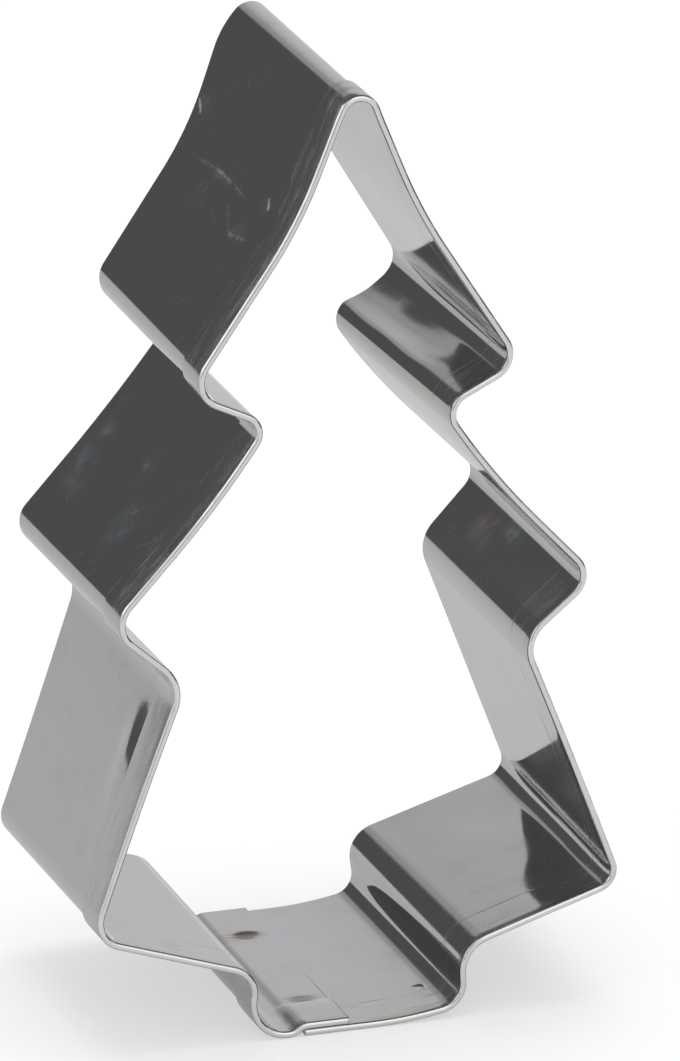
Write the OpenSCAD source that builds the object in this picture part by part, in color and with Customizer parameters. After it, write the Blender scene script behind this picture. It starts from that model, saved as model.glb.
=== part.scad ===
// Fir-tree cookie cutter, bent from one strip of sheet steel.
// X runs across the tree, +Z points from the trunk to the top of the tree, and Y is the depth of the
// strip: the rolled rim is at -Y and the cutting edge at +Y. The origin is on the resting plane, under
// the middle of the trunk and half way along the depth. All sizes are in millimetres.

/* [Strip] */
// Depth of the cutter, from the rolled rim to the cutting edge
strip_depth = 25; // [18:0.5:35]
// Thickness of the steel sheet
sheet = 0.25; // [0.2:0.01:0.35]
// Depth of the hem that is folded back behind the rim
hem_depth = 4; // [3:0.25:6]
// Hairline between the two layers of the closed hem
hem_gap = 0.02; // [0.01:0.01:0.04]

/* [Heights] */
// From the trunk's floor up to the corner where the trunk meets the lowest branches
trunk_h = 5; // [4.5:0.25:8]
// From that corner up to the tips of the lowest branches
base_lift = 4; // [2:0.25:6]
// From those tips up to the notch above them
base_h = 19.1; // [15:0.1:25]
// From the lower notch up to the tips of the middle branches
mid_lift = 4.7; // [2.5:0.1:7]
// From those tips up to the notch above them
mid_h = 14; // [11:0.1:18]
// From the upper notch up to the tips of the top branches
top_lift = 3; // [1.5:0.1:5]
// From those tips up to the sharp top that the apex bend rounds off
top_h = 22.9; // [18:0.1:28]

/* [Widths] */
// Width inside the trunk, at its floor
trunk_w = 16.7; // [15:0.1:20]
// Width inside the trunk, where it meets the lowest branches
trunk_top_w = 14.9; // [13:0.1:17]
// Width inside the tips of the lowest branches
base_w = 40.2; // [36:0.1:46]
// Width inside the lower notches
mid_notch_w = 25.6; // [23:0.1:28]
// Width inside the tips of the middle branches
mid_w = 36.1; // [33:0.1:40]
// Width inside the upper notches
top_notch_w = 12.4; // [11:0.1:14]
// Width inside the tips of the top branches
top_w = 24; // [21:0.1:27]

/* [Bends] */
// Inner bend at the apex
apex_r = 1.15; // [0.8:0.05:2]
// Inner bend at the tips of the top and middle branches
tip_r = 1.6; // [1:0.05:2.2]
// Inner bend at the tips of the lowest branches
base_tip_r = 1.4; // [1:0.05:2.2]
// Bend in the upper notches
top_notch_r = 1.7; // [1.2:0.05:2.2]
// Bend in the lower notches
mid_notch_r = 3; // [1.5:0.05:3.5]
// Bend where the trunk meets the lowest branches
root_r = 2.2; // [1.2:0.05:2.6]
// Inner bend at the foot of the trunk
foot_r = 2.5; // [1.5:0.05:2.6]
// How far the sides of the top branches are hollowed inwards
top_hollow = 1.35; // [0.6:0.05:2]
// How far the sides of the middle branches are hollowed inwards
mid_hollow = 0.6; // [0.3:0.05:1]

/* [Lap and spot welds] */
// Length over which the two ends of the strip lap under the trunk
lap_length = 3.35; // [2.6:0.05:4.5]
// Hairline between the lapped ends
lap_gap = 0.02; // [0.01:0.01:0.04]
// Flat floor between the trunk's left foot and the joggle that lifts the inner end
joggle_flat = 0.3; // [0.2:0.05:0.6]
// Length of the joggle's ramp
joggle_run = 0.6; // [0.5:0.05:1]
// Tight bend of the joggle
joggle_r = 0.15; // [0.1:0.05:0.3]
// Room between the joggle and the outer end of the strip
joggle_clear = 0.1; // [0.05:0.05:0.3]
// Length over which the inner end is pressed down on the outer one, behind the hem
press_run = 0.6; // [0.5:0.05:1.2]
// Diameter of a weld nugget
weld_d = 1.2; // [0.9:0.05:1.5]
// Thickness of a weld nugget
weld_h = 0.3; // [0.2:0.01:0.32]
// Diameter of the dimple that an electrode leaves in the sheet
dimple_d = 1.8; // [1.4:0.1:2.4]
// Depth of that dimple
dimple_h = 0.05; // [0.03:0.01:0.06]
// Distance of the rear weld from the cutting edge
rear_weld_inset = 6; // [3:0.25:9]

/* [Hidden] */
// Where along a branch's side its hollow is deepest, from the upper end
top_hollow_share = 0.45;
mid_hollow_share = 0.4;
// How much of the free length of a side its long bend takes up
sweep_share = 0.9;
// Furthest that a flat facet lies inside the true bend
facet_sag = 0.006;
// Facets of each tight bend of the joggle, and of the rim's rounded nose
joggle_steps = 4;
nose_steps = 6;
// How much smaller a nugget's flat faces are than its middle
nugget_face_share = 0.7;
// Side clearance of a nugget in its pocket
weld_clear = 0.01;
// Facets round a nugget and a dimple
weld_facets = 48;

hem_t = 2 * sheet + hem_gap;
nose_r = hem_t / 2;
front_y = -strip_depth / 2;
nose_y = front_y + nose_r;
hem_y = front_y + hem_depth;
press_y = hem_y + press_run;
rear_y = strip_depth / 2;

// The trunk's floor, seen from inside, stands one hem above the resting plane
floor_z = hem_t;
root_z = floor_z + trunk_h;
base_z = root_z + base_lift;
mid_notch_z = base_z + base_h;
mid_z = mid_notch_z + mid_lift;
top_notch_z = mid_z + mid_h;
top_z = top_notch_z + top_lift;
apex_z = top_z + top_h;

apex = [0, apex_z];
top_tip = [top_w / 2, top_z];
top_notch = [top_notch_w / 2, top_notch_z];
mid_tip = [mid_w / 2, mid_z];
mid_notch = [mid_notch_w / 2, mid_notch_z];
base_tip = [base_w / 2, base_z];
root = [trunk_top_w / 2, root_z];
foot = [trunk_w / 2, floor_z];
floor_middle = [0, floor_z];
top_side = hollowed(apex, top_tip, top_hollow_share, top_hollow);
mid_side = hollowed(top_notch, mid_tip, mid_hollow_share, mid_hollow);

// The right half from the apex down, and the bend at each corner; a long bend has a zero that is
// worked out from the room on its side
right_corners = [top_side, top_tip, top_notch, mid_side, mid_tip, mid_notch, base_tip, root, foot];
right_bends = [0, tip_r, top_notch_r, 0, tip_r, mid_notch_r, base_tip_r, root_r, foot_r];

corners = concat(
    [floor_middle],
    [for (i = [len(right_corners) - 1:-1:0]) mirrored(right_corners[i])],
    [apex],
    right_corners,
    [floor_middle]);
wished_bends = concat([0], reversed(right_bends), [apex_r], right_bends, [0]);
tight_bends = [for (i = [0:len(corners) - 1]) fitted(corners, wished_bends, i)];
bends = [for (i = [0:len(corners) - 1]) is_side(i) ? sweep_radius(corners, tight_bends, i) : tight_bends[i]];

// Each point of a path is [place on the inner face, unit vector pointing out of the tree]
tree_path = [for (i = [1:len(corners) - 2])
    each bend(corners[i - 1], corners[i], corners[i + 1], bends[i])];

// The inner end leaves the left foot, climbs the joggle and lies over the outer end: on its hem in
// front, and pressed down on its wall behind
hem_rise = hem_t + lap_gap;
pressed_rise = sheet + lap_gap;
floor_left_x = tree_path[0][0].x;
joggle_low_x = floor_left_x + joggle_flat;
joggle_high_x = joggle_low_x + joggle_run;
joggle_outer_r = hem_t + joggle_r;
joggle_end_x = joggle_high_x + joggle_outer_r * tan(atan2(hem_rise, joggle_run) / 2);
outer_end_x = joggle_end_x + joggle_clear;
inner_end_x = outer_end_x + lap_length;
weld_x = (outer_end_x + inner_end_x) / 2;
front_weld_y = press_y + dimple_d / 2;
rear_weld_y = rear_y - rear_weld_inset;
outer_end = [[outer_end_x, floor_z], [0, -1]];
wall_path = concat(tree_path, [outer_end]);
rim_path = concat(lap_path(hem_rise), wall_path);

function unit(v) = v / norm(v);
function mirrored(p) = [-p.x, p.y];
function reversed(list) = [for (i = [len(list) - 1:-1:0]) list[i]];
function left_of(v) = [-v.y, v.x];
function turned(v, angle) = [v.x * cos(angle) - v.y * sin(angle), v.x * sin(angle) + v.y * cos(angle)];

// A point on the side from a to b, moved inwards, which is to the right of the way down
function hollowed(a, b, share, hollow) = a + share * (b - a) - hollow * left_of(unit(b - a));
function is_side(i) = corners[i] == top_side || corners[i] == mirrored(top_side)
    || corners[i] == mid_side || corners[i] == mirrored(mid_side);

// Angle through which the path turns at corner i, positive to the left
function turn_between(u, v) = atan2(u.x * v.y - u.y * v.x, u * v);
function turn_at(p, i) = turn_between(p[i] - p[i - 1], p[i + 1] - p[i]);

// Straight length that a bend takes up on each side of its corner
function reach(p, r, i) = i == 0 || i == len(p) - 1 ? 0 : r[i] * tan(abs(turn_at(p, i)) / 2);
function leg(p, i) = norm(p[i + 1] - p[i]);

// A bend is as large as wished, unless it and the next one have no room on the leg between them
function leg_fit(p, r, i) = min(1, leg(p, i) / max(reach(p, r, i) + reach(p, r, i + 1), sheet));
function fitted(p, r, i) = r[i] == 0 ? 0 : r[i] * min(leg_fit(p, r, i - 1), leg_fit(p, r, i));
function sweep_radius(p, r, i) =
    sweep_share * min(leg(p, i - 1) - reach(p, r, i - 1), leg(p, i) - reach(p, r, i + 1))
    / tan(abs(turn_at(p, i)) / 2);

function bend_steps(r, angle) = max(1, ceil(abs(angle) / (2 * acos(1 - facet_sag / r))));
function bend(a, b, c, r, steps = 0) =
    let(
        way = unit(b - a),
        angle = turn_between(b - a, c - b),
        side = angle < 0 ? 1 : -1,
        start = b - way * r * tan(abs(angle) / 2),
        centre = start - side * r * left_of(way),
        count = steps > 0 ? steps : bend_steps(r, angle))
    [for (i = [0:count])
        let(out = turned(left_of(way), angle * i / count))
        [centre + side * r * out, out]];

// The inner end of the strip from its free end to the left foot, its floor lifted by the given rise
function lap_path(rise) =
    let(
        free_end = [inner_end_x, floor_z + rise],
        high = [joggle_high_x, floor_z + rise],
        low = [joggle_low_x, floor_z],
        foot_end = [floor_left_x, floor_z])
    concat(
        [[free_end, [0, -1]]],
        bend(free_end, high, low, hem_t + joggle_r, joggle_steps),
        bend(high, low, foot_end, joggle_r, joggle_steps));

// The path moved outwards, and the closed outline of a band that lies on its outer side
function moved_out(path, distance) = [for (p = path) p[0] + distance * p[1]];
function band(path, thickness) = concat(path_places(path), reversed(moved_out(path, thickness)));
function path_places(path) = [for (p = path) p[0]];

// Cross-section of the rim as [distance out, depth]: the corner at the bottom of the hem's hairline,
// the rounded nose, then the hem's far end
rim_section = concat(
    [[sheet + hem_gap, nose_y]],
    [for (i = [0:nose_steps])
        let(angle = 180 * i / nose_steps)
        [nose_r - nose_r * cos(angle), nose_y - nose_r * sin(angle)]],
    [[hem_t, hem_y], [sheet + hem_gap, hem_y]]);

// The faces that fill one ring: a fan from its first corner, or for a band a strip across it
function fan(size) = [[for (j = [0:size - 1]) j]];
function strip(size) = [for (j = [0:size / 2 - 2]) [j, j + 1, size - 2 - j, size - 1 - j]];

// A skin over rings of equal length, closed by the given faces at each end
function ring_faces(rings, size, fill) = concat(
    [for (f = fill) reversed(f)],
    [for (f = fill) [for (j = f) (rings - 1) * size + j]],
    [for (i = [0:rings - 2], j = [0:size - 1])
        let(k = (j + 1) % size)
        each [
            [i * size + j, i * size + k, (i + 1) * size + k],
            [i * size + j, (i + 1) * size + k, (i + 1) * size + j]]]);

// An outline in X and Z, extruded along the depth from one place to another
module extruded_depth(from_y, to_y) {
    translate([0, to_y, 0]) rotate([90, 0, 0]) linear_extrude(height = to_y - from_y) children();
}

// The inner end behind the rim: it lies on the outer end's hem in front, and is pressed down behind it
module lap_tongue() {
    stations = [
        [nose_y, hem_rise],
        [hem_y, hem_rise],
        [press_y, pressed_rise],
        [rear_y, pressed_rise]];
    points = [for (s = stations, p = band(lap_tongue_path(s[1]), sheet)) [p.x, s[0], p.y]];
    size = len(points) / len(stations);
    polyhedron(points, ring_faces(len(stations), size, strip(size)));
}

function lap_tongue_path(rise) = concat(lap_path(rise), [tree_path[0]]);

// A nugget: two flat faces and a side that swells to the full diameter
module nugget(clear = 0) {
    r = weld_d / 2 + clear;
    face_r = nugget_face_share * weld_d / 2 + clear;
    rotate_extrude($fn = weld_facets)
        polygon([[0, -weld_h / 2], [face_r, -weld_h / 2], [r, 0], [face_r, weld_h / 2], [0, weld_h / 2]]);
}

// The shallow dish that an electrode leaves: the cap of a ball, and the air over its mouth
module dimple(face_z, up) {
    dish_r = dimple_d / 2;
    ball_r = (dish_r * dish_r + dimple_h * dimple_h) / (2 * dimple_h);
    intersection() {
        translate([0, 0, face_z + up * (ball_r - dimple_h)]) sphere(r = ball_r, $fn = weld_facets);
        translate([0, 0, face_z]) cylinder(r = dish_r + sheet, h = 2 * dimple_h, center = true, $fn = weld_facets);
    }
}

module at_weld(y) {
    translate([weld_x, y, floor_z + lap_gap / 2]) children();
}

module weld_marks(y) {
    at_weld(y) nugget(weld_clear);
    translate([weld_x, y, 0]) {
        dimple(floor_z + pressed_rise, 1);
        dimple(floor_z - sheet, -1);
    }
}

// The strip's wall, from the rim's nose to the cutting edge, with both lapped ends
module blade_wall() {
    color("silver")
        difference() {
            union() {
                extruded_depth(nose_y, rear_y) polygon(band(wall_path, sheet));
                lap_tongue();
            }
            weld_marks(front_weld_y);
            weld_marks(rear_weld_y);
        }
}

// The fold along the strip's front edge: a rounded nose and the hem that lies against the wall
module rolled_rim() {
    points = [for (p = rim_path, s = rim_section)
        let(place = p[0] + s[0] * p[1])
        [place.x, s[1], place.y]];
    size = len(rim_section);
    color("gainsboro") polyhedron(points, ring_faces(len(rim_path), size, fan(size)));
}

module spot_weld_front() {
    color("dimgray") at_weld(front_weld_y) nugget();
}

module spot_weld_rear() {
    color("dimgray") at_weld(rear_weld_y) nugget();
}

blade_wall();
rolled_rim();
spot_weld_front();
spot_weld_rear();
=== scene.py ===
import math
from typing import NamedTuple

import bpy
from mathutils import Matrix, Vector


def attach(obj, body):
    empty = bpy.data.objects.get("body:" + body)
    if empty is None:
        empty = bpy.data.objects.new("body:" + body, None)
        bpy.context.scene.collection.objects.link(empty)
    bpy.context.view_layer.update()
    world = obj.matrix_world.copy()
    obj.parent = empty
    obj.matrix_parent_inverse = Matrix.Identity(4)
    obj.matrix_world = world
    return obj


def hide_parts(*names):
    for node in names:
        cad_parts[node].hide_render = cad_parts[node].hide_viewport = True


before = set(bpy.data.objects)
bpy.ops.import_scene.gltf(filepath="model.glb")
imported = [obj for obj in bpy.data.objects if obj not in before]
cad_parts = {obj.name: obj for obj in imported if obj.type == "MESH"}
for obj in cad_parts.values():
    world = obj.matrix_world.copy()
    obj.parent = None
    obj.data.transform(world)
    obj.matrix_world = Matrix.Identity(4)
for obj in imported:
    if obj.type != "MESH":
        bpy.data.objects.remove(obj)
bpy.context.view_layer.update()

# The cutter is one strip of polished sheet steel, swept along its bent line by Geometry Nodes. X runs to the
# right, +Z up to the top of the tree, and Y from the rolled rim back to the cutting edge. Sizes are in
# metres, written as millimetres times MM, unless the comment of a table says millimetres.
MM = 0.001

# The strip
STRIP_DEPTH = 25 * MM
SHEET = 0.25 * MM
HEM_DEPTH = 4 * MM
HEM_GAP = 0.02 * MM
RAW_EDGE_BEVEL = 0.04 * MM
HEM_T = 2 * SHEET + HEM_GAP
NOSE_R = HEM_T / 2
FRONT_Y = -STRIP_DEPTH / 2
NOSE_Y = FRONT_Y + NOSE_R
HEM_Y = FRONT_Y + HEM_DEPTH
REAR_Y = STRIP_DEPTH / 2
# The hem's end is pressed down towards the wall by this much, over this length
HEM_DROP = 0.01 * MM
HEM_TAPER = 0.5 * MM

# Corner heights of the drawn tree above the resting plane, and half widths inside it
FLOOR_Z = HEM_T
ROOT_Z = FLOOR_Z + 5 * MM
BASE_Z = ROOT_Z + 4 * MM
MID_NOTCH_Z = BASE_Z + 19.1 * MM
MID_Z = MID_NOTCH_Z + 4.7 * MM
TOP_NOTCH_Z = MID_Z + 14 * MM
TOP_Z = TOP_NOTCH_Z + 3 * MM
APEX_Z = TOP_Z + 22.9 * MM
FOOT_X = 8.35 * MM
ROOT_X = 7.45 * MM
BASE_X = 20.1 * MM
MID_NOTCH_X = 12.8 * MM
MID_X = 18.05 * MM
TOP_NOTCH_X = 6.2 * MM
TOP_X = 12 * MM

# Bends of the drawn tree
APEX_R = 1.15 * MM
TIP_R = 1.6 * MM
BASE_TIP_R = 1.4 * MM
TOP_NOTCH_R = 1.7 * MM
MID_NOTCH_R = 3 * MM
ROOT_R = 2.2 * MM
FOOT_R = 2.5 * MM

# A hand-bent cutter strays from its drawing by a few tenths of a millimetre. For each corner, at the
# rim and then at the cutting edge, in millimetres: how far it lies to the right, how far up, and how
# much wider its bend is
APEX_STRAYS = ((0.45, -0.4, -0.05), (0.1, -1.05, 0.2))
LEFT_STRAYS = {
    "foot": ((0.15, 0.0, -0.15), (0.0, 0.0, -0.15)),
    "root": ((0.05, -0.15, 0.2), (0.0, -0.1, 0.15)),
    "base": ((0.2, 0.0, 0.35), (0.05, -0.1, 0.25)),
    "mid_notch": ((-0.1, -0.25, 0.0), (-0.55, 0.05, 0.0)),
    "mid": ((-0.25, -0.15, 0.15), (-0.5, -0.05, 0.05)),
    "top_notch": ((-0.05, 0.15, -0.05), (-0.05, 0.15, 0.0)),
    "top": ((-0.3, 0.0, 0.15), (-0.25, 0.7, 0.2)),
}
RIGHT_STRAYS = {
    "foot": ((-0.42, 0.7, -0.8), (-0.5, 0.75, -0.9)),
    "root": ((0.25, 0.05, 0.7), (-0.2, 0.15, 0.2)),
    "base": ((-0.2, -0.1, -0.2), (-0.05, 0.0, 0.05)),
    "mid_notch": ((-0.35, 0.2, -0.1), (0.1, -0.15, -0.15)),
    "mid": ((-0.25, -0.15, -0.1), (-0.25, 0.35, 0.1)),
    "top_notch": ((0.0, 0.05, 0.2), (-0.4, -0.25, 0.05)),
    "top": ((0.1, -0.05, -0.1), (-0.25, 0.1, 0.25)),
}
# How far each side is hollowed inwards, at the rim and at the cutting edge, in millimetres
LEFT_HOLLOWS = {"shoulder": (0.3, -0.6), "top": (1.35, 0.95), "mid": (0.6, 0.35), "base": (-0.18, 0.1)}
RIGHT_HOLLOWS = {"shoulder": (0.5, -0.6), "top": (1.25, 0.65), "mid": (0.7, 0.85), "base": (-0.12, -0.03)}
# Where along a side its hollow is deepest, from the upper end
HOLLOW_SHARES = {"shoulder": 0.13, "top": 0.45, "mid": 0.4, "base": 0.55}
# How much of the free length of a side its long bend takes up
SWEEP_SHARE = 0.9
# Where the trunk's floor starts to curve up towards the right foot
SOLE_X = 3.6 * MM

# The lap under the trunk
LAP_LENGTH = 3.35 * MM
LAP_GAP = 0.02 * MM
JOGGLE_FLAT = 0.25 * MM
JOGGLE_RUN = 0.85 * MM
JOGGLE_R = 0.9 * MM
JOGGLE_CLEAR = 0.16 * MM
HEM_RISE = HEM_T + LAP_GAP
PRESSED_RISE = SHEET + LAP_GAP
PRESS_RUN = 1.2 * MM
# The lap's legs lie below this height
LAP_TOP_Z = FLOOR_Z + 1.5 * HEM_RISE
# The drawn trunk's left foot ends, the joggle follows it, and then comes the outer end
TRUNK_TURN = math.atan2(ROOT_Z - FLOOR_Z, ROOT_X - FOOT_X)
JOGGLE_LOW_X = JOGGLE_FLAT - FOOT_X + FOOT_R * math.tan(TRUNK_TURN / 2)
OUTER_END_X = JOGGLE_LOW_X + JOGGLE_RUN + JOGGLE_CLEAR
INNER_END_X = OUTER_END_X + LAP_LENGTH

# Where the sheet was pinched for the rear and the front spot weld: the places in X and in depth, how far
# the dimples reach in both, and how deep they are
WELD_PLACES = ((-2.5 * MM, 6.8 * MM), (-2.6 * MM, -7.0 * MM))
WELD_REACH = (1.6 * MM, 1.05 * MM)
WELD_DIPS = (0.16 * MM, 0.04 * MM)

# Soft dents of the sheet, from handling and from the bending pins. Each has its place along the strip
# and its depth in the cutter, its reach along and in depth, and how far it stands out, in millimetres
DENTS = (
    (113.4, -3.0, 1.8, 2.6, -0.02),
    (114.6, -1.2, 1.4, 1.6, 0.012),
    (111.0, -6.4, 0.9, 1.0, 0.012),
    (107.6, 1.0, 2.2, 3.0, -0.03),
    (108.6, 11.4, 1.6, 1.4, 0.02),
    (121.5, -7.0, 2.5, 1.2, 0.02),
    (140.5, 9.0, 4.5, 3.5, 0.03),
    (145.0, 3.0, 5.0, 4.0, -0.04),
    (160.8, -6.6, 3.6, 2.1, 0.13),
    (163.2, -6.8, 4.2, 1.8, 0.15),
    (168.5, -6.9, 4.5, 1.8, 0.045),
    (74.55, 8.5, 2.2, 10.0, 0.32),
    (74.55, 0.0, 2.2, 7.5, 0.27),
    (25.2, -8.0, 4.0, 5.5, 0.13),
    (25.0, 6.0, 4.0, 5.0, 0.07),
    (10.1, -7.9, 0.8, 0.65, -0.06),
)

# Fineness of the mesh
BEND_CUTS = 18
SWEEP_CUTS = 12
NOSE_CUTS = 12
HEM_TAPER_CUTS = 6
STRAIGHT_STEP = 0.5 * MM
LAP_STEP = 0.25 * MM
DEPTH_STEP = 0.85 * MM
WELD_STEP = 0.2 * MM
# Legs shorter than this are left out of the line
SHORTEST_LEG = 1e-7
# How far in front of the hem's end the wall's outer face, hidden there, is still cut
HIDDEN_CUT = 3 * DEPTH_STEP
SHARP_EDGE = math.radians(28)

# The camera, fitted to the photograph's 680 x 1061 frame
VIEW_AZIMUTH = math.radians(-18.2)
VIEW_ELEVATION = math.radians(18.8)
VIEW_ROLL = math.radians(-0.198)
VIEW_DISTANCE = 849.52 * MM
VIEW_TARGET = Vector((2.75 * MM, 0, 34.391 * MM))
VIEW_NEAR = 0.05
VIEW_FAR = 20
FOCAL_PIXELS = 11570.56
FRAME_HEIGHT_PIXELS = 1061
SENSOR = 36


def camera():
    """The photograph's camera."""
    data = bpy.data.cameras.new("photo_camera")
    data.sensor_width = SENSOR
    data.lens = FOCAL_PIXELS * SENSOR / FRAME_HEIGHT_PIXELS
    data.clip_start = VIEW_NEAR
    data.clip_end = VIEW_FAR
    back = Vector((math.sin(VIEW_AZIMUTH) * math.cos(VIEW_ELEVATION),
                   -math.cos(VIEW_AZIMUTH) * math.cos(VIEW_ELEVATION),
                   math.sin(VIEW_ELEVATION)))
    turn = back.to_track_quat("Z", "Y").to_matrix().to_4x4() @ Matrix.Rotation(VIEW_ROLL, 4, "Z")
    piece = bpy.data.objects.new("photo_camera", data)
    piece.matrix_world = Matrix.Translation(VIEW_TARGET + VIEW_DISTANCE * back) @ turn
    bpy.context.scene.collection.objects.link(piece)
    bpy.context.scene.camera = piece


# The strip's line, as points in X and Z


def left_of(v):
    """v turned a quarter to the left."""
    return Vector((-v.y, v.x))


def turn_at(a, b, c):
    """The angle by which a line through a, b and c turns at b, positive to the left."""
    u, v = b - a, c - b
    return math.atan2(u.x * v.y - u.y * v.x, u.dot(v))


def hollowed(a, b, share, hollow, side):
    """A point on the side from a down to b, moved into the tree. side is 1 on the right, -1 on the left."""
    return a + share * (b - a) - side * hollow * left_of((b - a).normalized())


def strayed(x, z, r, stray):
    """A drawn corner and its bend as they came out by hand."""
    return Vector((x + stray[0] * MM, z + stray[1] * MM)), r + stray[2] * MM


def half_tree(side, strays, hollows, end, apex):
    """One half's corners from the foot up, each with its bend. end is 0 at the rim, 1 at the cutting edge."""
    def corner(name, x, z, r):
        return strayed(side * x, z, r, strays[name][end])

    base = corner("base", BASE_X, BASE_Z, BASE_TIP_R)
    mid_notch = corner("mid_notch", MID_NOTCH_X, MID_NOTCH_Z, MID_NOTCH_R)
    mid = corner("mid", MID_X, MID_Z, TIP_R)
    top_notch = corner("top_notch", TOP_NOTCH_X, TOP_NOTCH_Z, TOP_NOTCH_R)
    top = corner("top", TOP_X, TOP_Z, TIP_R)

    def hollow(name, upper, lower):
        place = hollowed(upper, lower, HOLLOW_SHARES[name], hollows[name][end] * MM, side)
        return place, None

    return [
        corner("foot", FOOT_X, FLOOR_Z, FOOT_R),
        corner("root", ROOT_X, ROOT_Z, ROOT_R),
        base,
        hollow("base", mid_notch[0], base[0]),
        mid_notch,
        mid,
        hollow("mid", top_notch[0], mid[0]),
        top_notch,
        top,
        hollow("top", apex, top[0]),
        hollow("shoulder", apex, top[0]),
    ]


def tree_corners(end):
    """The corners from the right sole up to the apex and down to the left foot, each with its bend."""
    apex = strayed(0, APEX_Z, APEX_R, APEX_STRAYS[end])
    right = half_tree(1, RIGHT_STRAYS, RIGHT_HOLLOWS, end, apex[0])
    left = half_tree(-1, LEFT_STRAYS, LEFT_HOLLOWS, end, apex[0])
    sole = Vector((SOLE_X, FLOOR_Z)), None
    return [sole] + right + [apex] + left[::-1]


def fitted_bends(corners, bends):
    """Bends as large as wished unless two have no room on the leg between them. None is a long bend."""
    last = len(corners) - 1
    turns = [0.0] + [turn_at(*corners[i - 1:i + 2]) for i in range(1, last)] + [0.0]
    tight = [(r or 0) for r in bends]
    reach = [r * math.tan(abs(t) / 2) for r, t in zip(tight, turns)]
    leg = [(corners[i + 1] - corners[i]).length for i in range(last)]
    share = [min(1, leg[i] / max(reach[i] + reach[i + 1], SHEET)) for i in range(last)]
    fitted = [tight[i] * min(share[max(i - 1, 0)], share[min(i, last - 1)]) for i in range(last + 1)]
    for i in range(1, last):
        if bends[i] is None:
            before = leg[i - 1] / 2 if bends[i - 1] is None else leg[i - 1] - reach[i - 1]
            after = leg[i] / 2 if bends[i + 1] is None else leg[i] - reach[i + 1]
            fitted[i] = SWEEP_SHARE * min(before, after) / math.tan(abs(turns[i]) / 2)
    return fitted, turns


def bend(a, b, c, r, turn, cuts):
    """The points of a bend of radius r at corner b."""
    way = (b - a).normalized()
    side = 1 if turn > 0 else -1
    start = b - way * r * math.tan(abs(turn) / 2)
    centre = start + side * r * left_of(way)
    arm = start - centre
    return [centre + Matrix.Rotation(turn * i / cuts, 2) @ arm for i in range(cuts + 1)]


def rounded(corners, bends):
    """The points of all bends from the second corner to the last but one."""
    fitted, turns = fitted_bends(corners, bends)
    points = []
    for i in range(1, len(corners) - 1):
        cuts = SWEEP_CUTS if bends[i] is None else BEND_CUTS
        points += bend(corners[i - 1], corners[i], corners[i + 1], fitted[i], turns[i], cuts)
    return points


def line_at(end):
    """The strip's inner face from the outer end of the lap, round the tree, to the inner end."""
    tree = tree_corners(end)
    middle = Vector((0, FLOOR_Z))
    around = rounded([middle] + [p for p, r in tree] + [middle], [0] + [r for p, r in tree] + [0])
    high_z = FLOOR_Z + HEM_RISE
    inner_end = Vector((INNER_END_X, high_z))
    joggle_low = Vector((JOGGLE_LOW_X, FLOOR_Z))
    joggle_high = Vector((JOGGLE_LOW_X + JOGGLE_RUN, high_z))
    lap = rounded([around[-1], joggle_low, joggle_high, inner_end], [0, JOGGLE_R, HEM_T + JOGGLE_R, 0])
    return [Vector((OUTER_END_X, FLOOR_Z))] + around + lap + [inner_end]


def paired_lines():
    """The rim's line and the cutting edge's line, cut alike into short legs."""
    front, rear = line_at(0), line_at(1)
    pairs = [(front[0], rear[0])]
    for a, b, c, d in zip(front, front[1:], rear, rear[1:]):
        leg = (b - a).length
        if leg < SHORTEST_LEG:
            continue
        on_lap = max(a.y, b.y) < LAP_TOP_Z and max(a.x, b.x) < 0
        cuts = max(1, math.ceil(leg / (LAP_STEP if on_lap else STRAIGHT_STEP)))
        pairs += [(a.lerp(b, k / cuts), c.lerp(d, k / cuts)) for k in range(1, cuts + 1)]
    return pairs


# The strip's cross-section, as points of (distance out, depth)


def depth_stations(start, end, step=DEPTH_STEP):
    """Even depths from start to end."""
    count = max(1, round((end - start) / step))
    return [start + (end - start) * i / count for i in range(count + 1)]


def wall_stations(start, end):
    """Depths across the wall, closer together where the spot welds have dimpled it."""
    stations = []
    for depth in sorted(place[1] for place in WELD_PLACES):
        near, far = depth - WELD_REACH[1], depth + WELD_REACH[1]
        stations += depth_stations(start, near)[:-1] + depth_stations(near, far, WELD_STEP)[:-1]
        start = far
    return stations + depth_stations(start, end)


def rolled_nose():
    """The half turn of the rim between the wall and the hem."""
    angles = [math.pi * i / NOSE_CUTS for i in range(1, NOSE_CUTS)]
    return [(NOSE_R - NOSE_R * math.cos(angle), NOSE_Y - NOSE_R * math.sin(angle)) for angle in angles]


def hem_end():
    """The hem's end: it drops towards the wall, and its raw edge is bevelled."""
    start = HEM_Y - HEM_TAPER
    shares = [i / HEM_TAPER_CUTS for i in range(1, HEM_TAPER_CUTS + 1)]
    drop = [(HEM_T - HEM_DROP * share ** 2, start + (HEM_TAPER - RAW_EDGE_BEVEL) * share) for share in shares]
    return drop + [(HEM_T - HEM_DROP - RAW_EDGE_BEVEL, HEM_Y), (SHEET + HEM_GAP + RAW_EDGE_BEVEL, HEM_Y)]


def strip_section():
    """Closed outline of the strip's cross-section: wall, rolled nose and hem."""
    wall_end = REAR_Y - RAW_EDGE_BEVEL
    inner_face = [(0, y) for y in reversed(wall_stations(NOSE_Y, wall_end))]
    hem_outer = [(HEM_T, y) for y in depth_stations(NOSE_Y, HEM_Y - HEM_TAPER)]
    hem_inner = [(SHEET + HEM_GAP, HEM_Y - RAW_EDGE_BEVEL), (SHEET + HEM_GAP, NOSE_Y), (SHEET, NOSE_Y)]
    outer_face = [(SHEET, y) for y in depth_stations(NOSE_Y, wall_end) if y > HEM_Y - HIDDEN_CUT]
    cutting_edge = [(SHEET - RAW_EDGE_BEVEL, REAR_Y), (RAW_EDGE_BEVEL, REAR_Y)]
    return inner_face + rolled_nose() + hem_outer + hem_end() + hem_inner + outer_face + cutting_edge


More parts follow.
